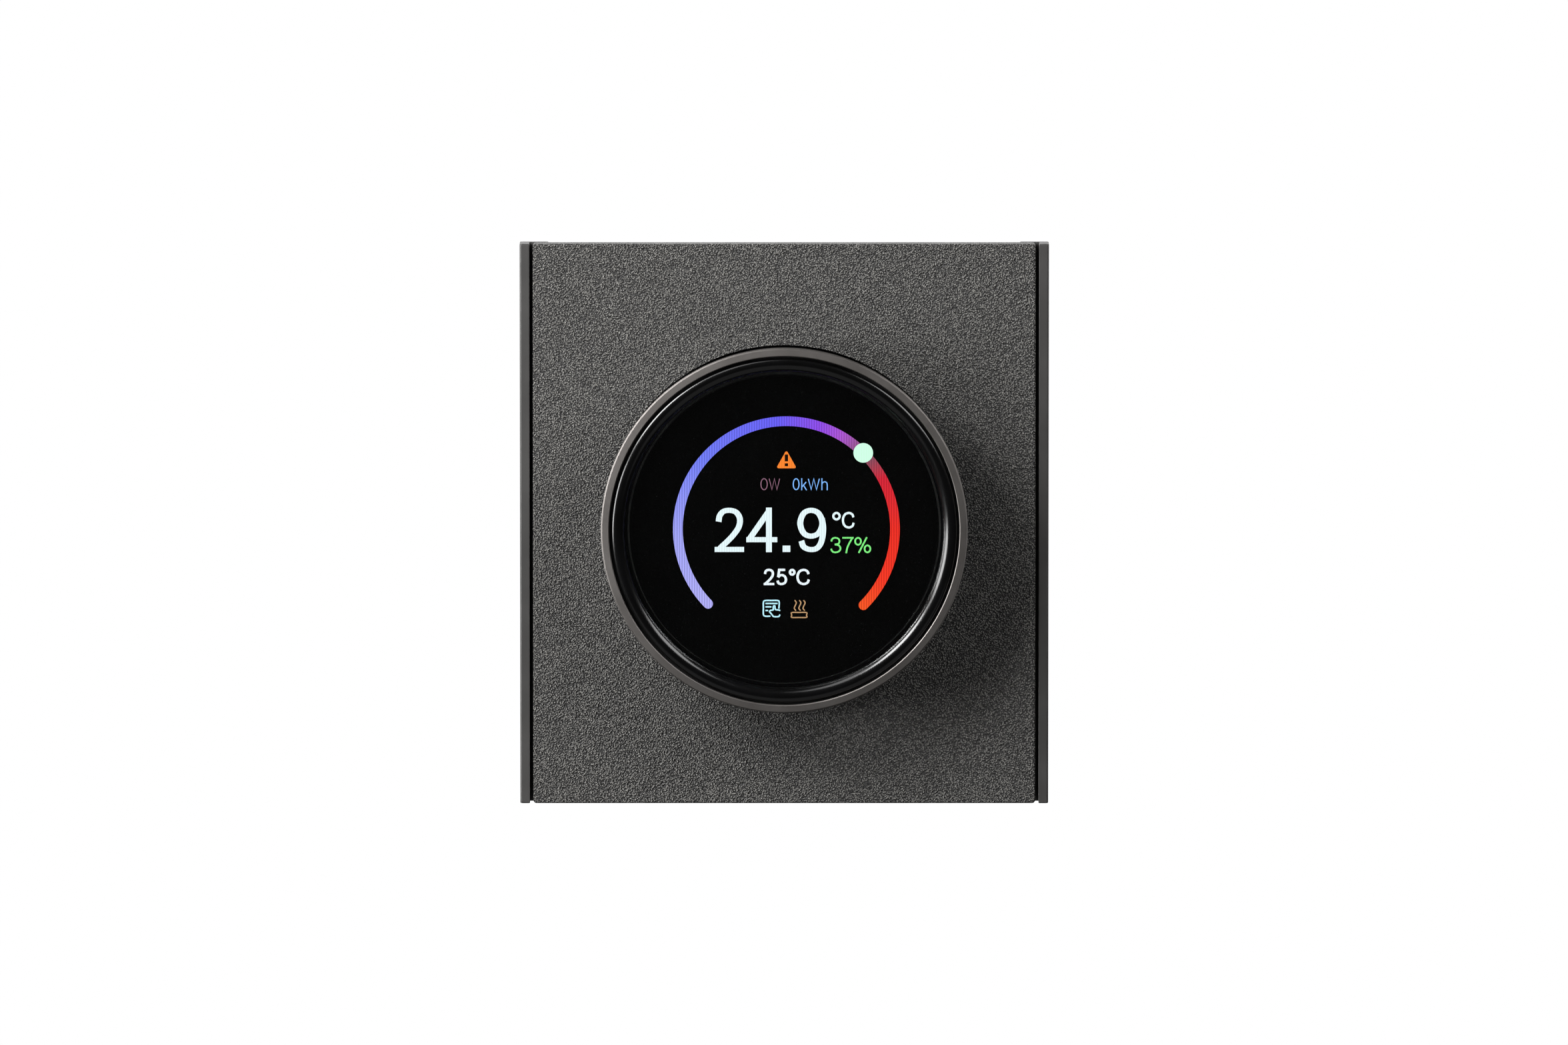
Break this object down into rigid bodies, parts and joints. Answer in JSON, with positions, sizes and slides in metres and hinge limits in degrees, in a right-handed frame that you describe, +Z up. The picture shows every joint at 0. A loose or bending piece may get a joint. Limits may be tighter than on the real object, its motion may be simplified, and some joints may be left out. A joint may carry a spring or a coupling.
{
  "type": "wall thermostat",
  "caption": "Flush-box room thermostat: grained plate with side strips, a turning and pressing metal ring knob around a round lit display, plugged onto a rear power unit.",
  "frame": {"origin": "on the wall's surface, midway between the two wall screws", "axes": "+Z up, +X to the right as seen by the user, -Y out of the wall along the knob's axis"},
  "size_m": [0.0808, 0.047, 0.086],
  "materials": {
    "black_plastic": "moulded matte black",
    "brass": "bright brass",
    "circuit_board": "green solder mask",
    "clear_plastic": "natural white moulding",
    "component": "moulded black epoxy",
    "display": "lit colour display on black",
    "flex_film": "amber polyimide film",
    "glass": "clear cover glass",
    "gloss_black": "polished black",
    "grey_plastic": "moulded matte black-grey",
    "magnet": "bonded ferrite",
    "plate_plastic": "fine leather-grain moulded, satin, dark grey",
    "relay_case": "blue moulded case",
    "ring_metal": "anodised dark grey, bright cut chamfers",
    "spring_steel": "bright spring steel",
    "steel": "zinc-plated sheet and screws",
    "strip_metal": "smooth satin dark grey paint",
    "tin_plate": "tinned shield can",
    "transformer": "yellow tape over ferrite",
    "varistor_coat": "blue epoxy dip"
  },
  "bodies": {
    "power_unit": {"mounting_yoke": "steel", "rear_housing": "black_plastic", "housing_lid": "black_plastic", "lid_screws": "steel", "yoke_rivets": "steel", "plug_socket": "component", "power_board": "circuit_board", "power_relay": "relay_case", "transformer": "transformer", "surge_varistor": "varistor_coat", "current_shunt": "brass", "bulk_capacitor": "component", "fuse": "component", "meter_chip": "component", "terminal_block": "clear_plastic", "terminal_clamps": "brass", "terminal_screws": "steel"},
    "front_unit": {"front_plate": "plate_plastic", "side_strip_left": "strip_metal", "side_strip_right": "strip_metal", "back_cover": "grey_plastic", "cover_screws": "steel", "push_guide": "black_plastic", "guide_screws": "steel", "control_board": "circuit_board", "radio_module": "tin_plate", "main_chip": "component", "room_sensor": "clear_plastic", "flex_connector": "clear_plastic", "push_switch": "component", "hall_sensors": "component", "plug_pins": "brass"},
    "knob": {"knob_carrier": "black_plastic", "retaining_clip": "spring_steel", "display_bezel": "gloss_black", "display_glass": "glass", "display_panel": "display", "backlight_tray": "steel", "display_flex": "flex_film", "return_springs": "spring_steel", "detent_spring": "spring_steel", "detent_ball": "spring_steel", "push_screws": "steel"},
    "ring": {"knob_ring": "ring_metal", "knob_skirt": "black_plastic", "magnet_ring": "magnet"},
    "plunger": {"switch_plunger": "clear_plastic"}
  },
  "joints": [
    {"name": "front_unit_pull", "type": "slide", "parent": "power_unit", "child": "front_unit", "axis": [0, -1, 0], "range_m": [0, 0.03]},
    {"name": "knob_press", "type": "slide", "parent": "front_unit", "child": "knob", "axis": [0, 1, 0], "range_m": [0, 0.0005], "stiffness_N_per_m": 4000, "springref_m": -0.0004, "deforming": ["return_springs", "display_flex"]},
    {"name": "ring_turn", "type": "hinge", "parent": "knob", "child": "ring", "pos_m": [0, -0.016, 0], "axis": [0, -1, 0], "continuous": true},
    {"name": "plunger_press", "type": "slide", "parent": "front_unit", "child": "plunger", "axis": [0, 1, 0], "range_m": [0, 0.0005]}
  ],
  "couplings": [
    {"joint": "plunger_press", "follows": "knob_press", "ratio": 1}
  ]
}
